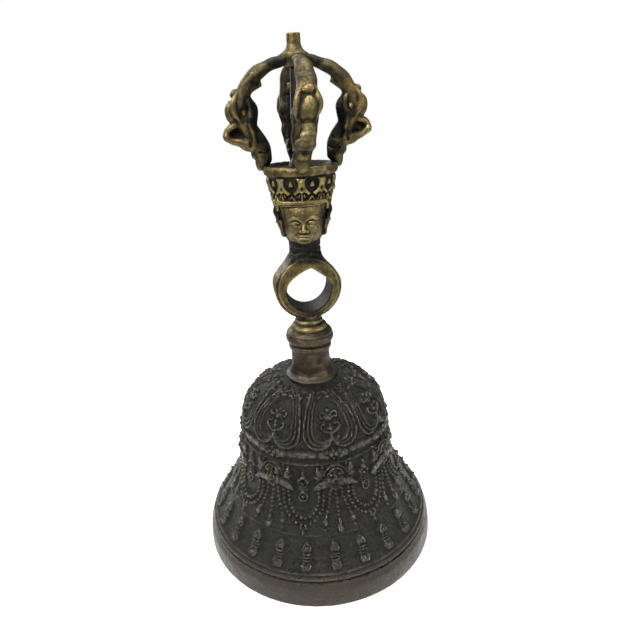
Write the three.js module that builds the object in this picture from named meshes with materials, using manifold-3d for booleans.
// A hand bell of the drilbu kind: a cast bell with a flared lip, and a brass handle built up from a stepped
// foot, a finger ring, a crowned head and a five-pronged vajra. A clapper hangs inside from an eye bolt that
// also ties the handle to the bell. Millimetres, +Z up, origin at the centre of the lip's foot.
import * as THREE from "three";
import { mergeVertices } from "three/addons/utils/BufferGeometryUtils.js";
import Module from "manifold-3d";

const wasm = await Module();
wasm.setup();

// ---- driving dimensions -------------------------------------------------------------------------------
const TOTAL_HEIGHT = 180;
const LIP_RADIUS = 44.25; // widest point of the lip band
const LIP_THICKNESS = 4; // at the foot, where the bell stands and is struck
const WALL = 2.5; // thickness of the waist and the dome
const BELL_HEIGHT = 67; // foot of the lip to the flat on the dome
const DOME_FLAT_RADIUS = 9.75;
const CROWN_HOLE_RADIUS = 3;

const SOCKET_TOP = 79.6;
const SOCKET_RADIUS = 7.05;
const FLANGE_RADIUS = 9.4;
const COLLAR_TOP = 86.4;
const COLLAR_RADIUS = 8.6;
const FOOT_TOP = 91.3;
const FOOT_STEP_RADIUS = 6.45; // the wide lower step of the foot
const FOOT_BEAD_RADIUS = 4.95; // the bead above it
const SPIGOT_RADIUS = 4.5; // the foot's spigot stands inside the collar and the socket
const SPIGOT_BOTTOM = 75;
const FIT_GAP = 0.3; // radial gap between pieces that slide into each other

const RING_RADIUS = 11.6;
const RING_CENTRE = 102.5;
const RING_DEPTH = 10.8; // front to back
const RING_HOLE_RADIUS = 7.75;
const RING_HOLE_TOP = RING_CENTRE + 7.7; // the round hole rises to a point
const SHOULDER_TOP = 114; // the ring's shoulders sweep up to the neck here
const NECK_RADIUS = 5.5;
const NECK_TOP = 118;
const HEAD_TOP = 131;
const CROWN_TOP = 143;
const CROWN_RADIUS = 12;
const CROWN_DISH_FLOOR = 141.5;

const PRONG_REACH = 23.2; // from the handle's axis to the tip of a prong's snout
const HANDLE_TURN = THREE.MathUtils.degToRad(8); // the ring and the vajra stand turned a little from the face
const HUB_BOTTOM = 171.5;
const FINIAL_RADIUS = 2;

const BOLT_RADIUS = 2.5;
const BOLT_TOP = 82;
const NUT_HEIGHT = 3;
const WASHER_THICKNESS = 1;
const EYE_RING = 3; // centre-line radius of the eye at the bolt's end
const EYE_WIRE = 1;
const LINK_RING = 4;
const LINK_WIRE = 0.9;
const CLAPPER_RING = 2.6;
const CLAPPER_WIRE = 0.9;
const CHAIN_GAP = 0.3; // clearance between the wires of two linked rings
const BALL_RADIUS = 5.5;
const BALL_CENTRE = 13.5;
const ROD_RADIUS = 1.5;

const BELL_FACETS = 48; // facets round the bell, then round turned pieces of the handle and round small ones
const ROUND = 32;
const SMALL_ROUND = 20;

// ---- materials ----------------------------------------------------------------------------------------
const material = (color, roughness) => new THREE.MeshStandardMaterial({ color, roughness, metalness: 0.9 });
const bellBronze = material(0x3d3a36, 0.55);
const socketBronze = material(0x5d5145, 0.5);
const brass = material(0x83713f, 0.42);
const iron = material(0x4a4744, 0.5);

// ---- shape helpers ------------------------------------------------------------------------------------
const point = (radius, height) => new THREE.Vector2(radius, height);

// A turned piece about +Z. The profile runs up its outside and closes on itself or on the axis.
function turned(profile, facets = ROUND) {
  const closed = profile[0].x > 0 ? [...profile, profile[0]] : profile;
  return new THREE.LatheGeometry(closed, facets).rotateX(Math.PI / 2);
}

function solidOf(geometry) {
  const bare = (geometry.index ? geometry.toNonIndexed() : geometry).clone();
  bare.deleteAttribute("normal");
  bare.deleteAttribute("uv");
  const merged = mergeVertices(bare, 1e-4);
  const mesh = new wasm.Mesh({
    numProp: 3,
    vertProperties: merged.attributes.position.array,
    triVerts: new Uint32Array(merged.index.array),
  });
  return new wasm.Manifold(mesh);
}

function geometryOf(solid) {
  const mesh = solid.getMesh();
  return new THREE.BufferGeometry()
    .setAttribute("position", new THREE.BufferAttribute(new Float32Array(mesh.vertProperties), 3))
    .setIndex(new THREE.BufferAttribute(new Uint32Array(mesh.triVerts), 1));
}

const joined = (...parts) => geometryOf(parts.map(solidOf).reduce((whole, next) => whole.add(next)));
const cut = (body, ...tools) => geometryOf(tools.map(solidOf).reduce((rest, tool) => rest.subtract(tool), solidOf(body)));

function ball(radius, x, y, z, facets = 14) {
  return new THREE.SphereGeometry(radius, facets, Math.round(facets * 0.7)).translate(x, y, z);
}

// An upright cylinder between two heights.
function post(radius, bottom, top, facets = SMALL_ROUND) {
  return new THREE.CylinderGeometry(radius, radius, top - bottom, facets)
    .rotateX(Math.PI / 2)
    .translate(0, 0, (top + bottom) / 2);
}

// A wire ring that stands upright. Its hole faces along +Y, or along +X when it is turned.
function wireRing(ringRadius, wireRadius, centre, turnedToX = false) {
  const ring = new THREE.TorusGeometry(ringRadius, wireRadius, 8, 24).rotateX(Math.PI / 2);
  return (turnedToX ? ring.rotateZ(Math.PI / 2) : ring).translate(0, 0, centre);
}

const part = (name, geometry, look) => {
  const mesh = new THREE.Mesh(geometry, look);
  mesh.name = name;
  return mesh;
};

// ---- the bell -----------------------------------------------------------------------------------------
function bellShell() {
  const flare = new THREE.SplineCurve([
    point(LIP_RADIUS - 2.5, 11.25),
    point(37.2, 18),
    point(31.2, 29),
    point(29, 37),
    point(28, 47),
    point(26.9, 54.5),
    point(22.2, 61.75),
    point(15.5, 65.5),
    point(DOME_FLAT_RADIUS, BELL_HEIGHT),
  ]);
  const outside = [
    point(LIP_RADIUS - 0.75, 0),
    point(LIP_RADIUS, 2.5),
    point(LIP_RADIUS, 6.75),
    point(LIP_RADIUS - 0.75, 7.75),
    point(LIP_RADIUS - 1.75, 8),
    point(LIP_RADIUS - 1, 9),
    point(LIP_RADIUS - 1.75, 10.75),
    ...flare.getPoints(14),
    point(CROWN_HOLE_RADIUS, BELL_HEIGHT),
  ];
  const hollow = new THREE.SplineCurve([
    point(CROWN_HOLE_RADIUS, BELL_HEIGHT - WALL),
    point(DOME_FLAT_RADIUS, BELL_HEIGHT - WALL),
    point(22.2 - WALL * 0.7, 61.75 - WALL * 0.9),
    point(26.9 - WALL, 53.5),
    point(28 - WALL, 46),
    point(29 - WALL, 37),
    point(31.2 - WALL, 27.5),
    point(36.2 - WALL, 17),
    point(LIP_RADIUS - LIP_THICKNESS - 2.5, 8),
    point(LIP_RADIUS - LIP_THICKNESS - 0.75, 0),
  ]);
  return turned([...outside, ...hollow.getPoints(12)], BELL_FACETS);
}

// ---- socket, collar and foot, all turned ------------------------------------------------------------------
function crownSocket() {
  const bore = BOLT_RADIUS + 0.5;
  const counterbore = SPIGOT_RADIUS + FIT_GAP;
  return turned([
    point(bore, BELL_HEIGHT),
    point(FLANGE_RADIUS - 0.2, BELL_HEIGHT),
    point(FLANGE_RADIUS, BELL_HEIGHT + 0.9),
    point(FLANGE_RADIUS - 0.5, BELL_HEIGHT + 1.4),
    point(SOCKET_RADIUS + 0.5, BELL_HEIGHT + 2.6),
    point(SOCKET_RADIUS, BELL_HEIGHT + 4.2),
    point(SOCKET_RADIUS, SOCKET_TOP),
    point(counterbore, SOCKET_TOP),
    point(counterbore, SPIGOT_BOTTOM - 0.5),
    point(bore, SPIGOT_BOTTOM - 0.5),
  ]);
}

function collarRing() {
  const bore = SPIGOT_RADIUS + FIT_GAP;
  const belly = new THREE.SplineCurve([
    point(COLLAR_RADIUS - 0.7, SOCKET_TOP + 2.1),
    point(COLLAR_RADIUS - 0.1, SOCKET_TOP + 3.1),
    point(COLLAR_RADIUS, SOCKET_TOP + 4),
    point(COLLAR_RADIUS - 0.4, SOCKET_TOP + 5.2),
    point(COLLAR_RADIUS - 1.8, COLLAR_TOP),
  ]);
  return turned([
    point(bore, SOCKET_TOP),
    point(COLLAR_RADIUS - 1, SOCKET_TOP),
    point(COLLAR_RADIUS - 0.85, SOCKET_TOP + 0.7),
    point(COLLAR_RADIUS - 1.25, SOCKET_TOP + 1.6),
    ...belly.getPoints(6),
    point(bore, COLLAR_TOP),
  ]);
}

function handleFoot() {
  const threadBore = BOLT_RADIUS + FIT_GAP;
  return turned([
    point(threadBore, SPIGOT_BOTTOM),
    point(SPIGOT_RADIUS, SPIGOT_BOTTOM),
    point(SPIGOT_RADIUS, COLLAR_TOP),
    point(FOOT_STEP_RADIUS - 0.1, COLLAR_TOP),
    point(FOOT_STEP_RADIUS, COLLAR_TOP + 1),
    point(FOOT_STEP_RADIUS - 0.8, COLLAR_TOP + 1.8),
    point(FOOT_BEAD_RADIUS - 0.1, COLLAR_TOP + 2.1),
    point(FOOT_BEAD_RADIUS, COLLAR_TOP + 3),
    point(FOOT_BEAD_RADIUS - 0.6, COLLAR_TOP + 3.8),
    point(FOOT_BEAD_RADIUS - 0.4, FOOT_TOP),
    point(0, FOOT_TOP),
    point(0, BOLT_TOP + 1),
    point(threadBore, BOLT_TOP + 1),
  ]);
}

// ---- finger ring and neck ---------------------------------------------------------------------------------
// Points along a circle in the face of the ring, between two angles in degrees.
const arc = (radius, height, from, to, steps) =>
  Array.from({ length: steps + 1 }, (_, i) => {
    const angle = THREE.MathUtils.degToRad(from + ((to - from) * i) / steps);
    return point(radius * Math.cos(angle), height + radius * Math.sin(angle));
  });

function fingerRing() {
  const flat = THREE.MathUtils.radToDeg(Math.acos((RING_CENTRE - FOOT_TOP) / RING_RADIUS)); // half the flat on the foot
  const round = arc(RING_RADIUS, RING_CENTRE, flat - 90, 20, 16);
  const shoulder = new THREE.SplineCurve([
    round.at(-1),
    point(8.7, 109.1),
    point(6.9, 110.9),
    point(NECK_RADIUS + 0.3, 112.6),
    point(NECK_RADIUS, SHOULDER_TOP),
  ]);
  const rightSide = [...round, ...shoulder.getPoints(6).slice(1)];
  const leftSide = rightSide.map(({ x, y }) => point(-x, y)).reverse();
  const face = new THREE.Shape([...rightSide, ...leftSide]);
  const corner = 24; // the round of the hole ends this far above its middle, and two straights rise to a point
  const hole = arc(RING_HOLE_RADIUS, RING_CENTRE - 0.3, 180 - corner, 360 + corner, 24);
  face.holes.push(new THREE.Path([...hole, point(0.4, RING_HOLE_TOP)]));
  const chamfer = 0.6;
  const band = new THREE.ExtrudeGeometry(face, {
    depth: RING_DEPTH - 2 * chamfer,
    bevelSize: chamfer,
    bevelThickness: chamfer,
    bevelOffset: -chamfer,
    bevelSegments: 1,
  })
    .rotateX(Math.PI / 2)
    .translate(0, RING_DEPTH / 2 - chamfer, 0);
  return joined(band, post(NECK_RADIUS - 0.2, SHOULDER_TOP - 2, NECK_TOP));
}

// ---- head and crown ---------------------------------------------------------------------------------------
function head() {
  const hair = turned([
    point(0, NECK_TOP),
    point(NECK_RADIUS, NECK_TOP),
    point(7.4, 120.5),
    point(8.3, 124.5),
    point(9.4, 129),
    point(9.6, HEAD_TOP),
    point(0, HEAD_TOP),
  ], SMALL_ROUND);
  const face = ball(6.4, 0, 0, 0, 14).scale(1, 0.8, 1.08).translate(0, -4.2, 125.4);
  const nose = ball(1, 0, 0, 0, 8).scale(0.9, 1, 1.6).translate(0, -9.2, 125);
  const ear = (side) => ball(1.2, 0, 0, 0, 8).scale(0.7, 1, 2.6).translate(side * 8.1, -1.5, 123.6);
  const rough = solidOf(joined(hair, face, nose, ear(-1), ear(1)));
  const room = post(16, NECK_TOP, HEAD_TOP, 8);
  return geometryOf(rough.intersect(solidOf(room)));
}

function crown() {
  const body = turned([
    point(0, HEAD_TOP),
    point(9.6, HEAD_TOP),
    point(10.1, 134),
    point(CROWN_RADIUS - 0.9, 139.8),
    point(CROWN_RADIUS - 0.1, 140.8),
    point(CROWN_RADIUS, 142),
    point(CROWN_RADIUS - 0.6, CROWN_TOP),
    point(CROWN_RADIUS - 2.6, CROWN_TOP),
    point(CROWN_RADIUS - 3.4, CROWN_DISH_FLOOR),
    point(0, CROWN_DISH_FLOOR),
  ]);
  const leaves = Array.from({ length: 10 }, (_, i) => {
    const leaf = ball(1, 0, 0, 0, 6).scale(0.7, 1.9, 3.2);
    return leaf.translate(10.3, 0, 136.8).rotateZ((i + 0.5) * (Math.PI / 5));
  });
  return joined(body, ...leaves);
}

// ---- vajra prongs -----------------------------------------------------------------------------------------
// Built in the XZ plane, reaching out along +X from the crown's rim and back in to the hub.
function prong() {
  const centreLine = new THREE.CatmullRomCurve3(
    [
      [9.8, CROWN_TOP - 2],
      [11.4, 147],
      [13.4, 152],
      [16.2, 157],
      [17.1, 161.6],
      [14.4, 167.2],
      [8.8, 171.4],
      [2, 173.6],
    ].map(([x, z]) => new THREE.Vector3(x, 0, z)),
  );
  const section = new THREE.Shape().absellipse(0, 0, 2.4, 2, 0, 2 * Math.PI);
  const horn = new THREE.ExtrudeGeometry(section, {
    steps: 14,
    curveSegments: 4,
    bevelEnabled: false,
    extrudePath: centreLine,
  });
  const cheek = ball(1, 0, 0, 0, 10).scale(3.5, 3.2, 4.6).translate(18.6, 0, 160.2);
  const snout = ball(1, 0, 0, 0, 10).scale(4.6, 2, 2.3).rotateY(-0.15).translate(PRONG_REACH - 4.4, 0, 153);
  const jaw = ball(1, 0, 0, 0, 10).scale(2.8, 2.8, 4.4).rotateY(0.45).translate(13.2, 0, 149.8);
  const foot = ball(1, 0, 0, 0, 10).scale(1.8, 2.3, 3.2).translate(12.6, 0, 144.6);
  const tooth = ball(1, 0, 0, 0, 8).scale(2.6, 1.6, 0.9).translate(12.9, 0, 166.4);
  const whole = joined(horn, cheek, snout, jaw, foot, tooth);
  const below = joined(
    post(CROWN_RADIUS + FIT_GAP, CROWN_TOP - 10, CROWN_TOP, ROUND),
    new THREE.BoxGeometry(60, 60, 10).translate(0, 0, CROWN_TOP - 2.5 - 5),
  );
  const hub = new THREE.BoxGeometry(20, 20, 20).translate(FINIAL_RADIUS + 1.2 + FIT_GAP - 10, 0, 172);
  return cut(whole, below, hub);
}

function centreProng() {
  return turned([
    point(0, CROWN_DISH_FLOOR),
    point(3.2, CROWN_DISH_FLOOR),
    point(3.4, 143),
    point(2, 145.5),
    point(1.6, 149),
    point(1.9, 158),
    point(1.4, 168),
    point(1.4, HUB_BOTTOM),
    point(0, HUB_BOTTOM),
  ], 20);
}

function finial() {
  return turned([
    point(0, HUB_BOTTOM),
    point(2.4, HUB_BOTTOM),
    point(FINIAL_RADIUS + 1.2, 172.75),
    point(FINIAL_RADIUS + 1.2, 174.5),
    point(FINIAL_RADIUS + 0.3, 175.75),
    point(FINIAL_RADIUS, 177),
    point(FINIAL_RADIUS, TOTAL_HEIGHT - 0.3),
    point(FINIAL_RADIUS - 0.3, TOTAL_HEIGHT),
    point(0, TOTAL_HEIGHT),
  ], SMALL_ROUND);
}

// ---- tie bolt and clapper ---------------------------------------------------------------------------------
const INNER_DOME = BELL_HEIGHT - WALL; // the flat under the dome that the washer bears on
const NUT_TOP = INNER_DOME - WASHER_THICKNESS;
const EYE_CENTRE = NUT_TOP - NUT_HEIGHT - 0.5 - EYE_RING - EYE_WIRE;
const LINK_PIVOT = EYE_CENTRE - EYE_RING; // centre of the eye's lowest wire, which the link swings on
const LINK_CENTRE = LINK_PIVOT + EYE_WIRE + CHAIN_GAP + LINK_WIRE - LINK_RING;
const CLAPPER_PIVOT = LINK_CENTRE - LINK_RING; // centre of the link's lowest wire
const CLAPPER_EYE_CENTRE = CLAPPER_PIVOT + LINK_WIRE + CHAIN_GAP + CLAPPER_WIRE - CLAPPER_RING;

function eyeBolt() {
  const shank = post(BOLT_RADIUS, EYE_CENTRE + EYE_RING, BOLT_TOP);
  return joined(shank, wireRing(EYE_RING, EYE_WIRE, EYE_CENTRE));
}

function washer() {
  const bore = BOLT_RADIUS + FIT_GAP;
  return turned([
    point(bore, NUT_TOP),
    point(7, NUT_TOP),
    point(7, INNER_DOME),
    point(bore, INNER_DOME),
  ], SMALL_ROUND);
}

function nut() {
  const hexagon = new THREE.CylinderGeometry(5.2, 5.2, NUT_HEIGHT, 6)
    .rotateX(Math.PI / 2)
    .translate(0, 0, NUT_TOP - NUT_HEIGHT / 2);
  return cut(hexagon, post(BOLT_RADIUS + FIT_GAP, NUT_TOP - NUT_HEIGHT - 1, NUT_TOP + 1));
}

const BALL_TOP = BALL_CENTRE + BALL_RADIUS - 0.5; // both ends of the ball are cut flat round its bore
const BALL_BOTTOM = BALL_CENTRE - BALL_RADIUS + 0.5;

function clapperRod() {
  const eyeBottom = CLAPPER_EYE_CENTRE - CLAPPER_RING;
  const rod = post(ROD_RADIUS, BALL_BOTTOM - 2, eyeBottom, 16);
  const shoulder = turned([
    point(0, BALL_TOP),
    point(3, BALL_TOP),
    point(2.6, BALL_TOP + 1.5),
    point(0, BALL_TOP + 3),
  ], 16);
  return joined(rod, shoulder, wireRing(CLAPPER_RING, CLAPPER_WIRE, CLAPPER_EYE_CENTRE));
}

function clapperBall() {
  const whole = ball(BALL_RADIUS, 0, 0, 0, 20).rotateX(Math.PI / 2).translate(0, 0, BALL_CENTRE);
  const above = post(BALL_RADIUS, BALL_TOP, BALL_TOP + 4);
  const below = post(BALL_RADIUS, BALL_BOTTOM - 4, BALL_BOTTOM);
  return cut(whole, above, below, post(ROD_RADIUS + FIT_GAP, BALL_BOTTOM - 1, BALL_TOP + 1, 16));
}

function clapperNut() {
  const height = 1.75;
  const hexagon = new THREE.CylinderGeometry(3, 3, height, 6)
    .rotateX(Math.PI / 2)
    .translate(0, 0, BALL_BOTTOM - height / 2);
  return cut(hexagon, post(ROD_RADIUS + FIT_GAP, BALL_BOTTOM - height - 1, BALL_BOTTOM + 1, 16));
}

// ---- assembly ---------------------------------------------------------------------------------------------
const bell = new THREE.Group();
bell.add(
  part("bell_shell", bellShell(), bellBronze),
  part("crown_socket", crownSocket(), socketBronze),
  part("collar_ring", collarRing(), socketBronze),
  part("handle_foot", handleFoot(), brass),
  part("head", head(), brass),
  part("crown", crown(), brass),
);

const vajra = new THREE.Group();
vajra.rotation.z = HANDLE_TURN;
vajra.add(part("finger_ring", fingerRing(), brass));
["right", "back", "left", "front"].forEach((side, quarter) => {
  const arm = part("prong_" + side, prong(), brass);
  arm.rotation.z = quarter * (Math.PI / 2);
  vajra.add(arm);
});
vajra.add(part("centre_prong", centreProng(), brass), part("finial", finial(), brass));

const clapper = new THREE.Group();
clapper.add(
  part("eye_bolt", eyeBolt(), iron),
  part("washer", washer(), iron),
  part("nut", nut(), iron),
  part("clapper_link", wireRing(LINK_RING, LINK_WIRE, LINK_CENTRE, true), iron),
  part("clapper_rod", clapperRod(), iron),
  part("clapper_ball", clapperBall(), brass),
  part("clapper_nut", clapperNut(), brass),
);

const tibetanBell = new THREE.Group();
tibetanBell.add(bell, vajra, clapper);

export default tibetanBell;
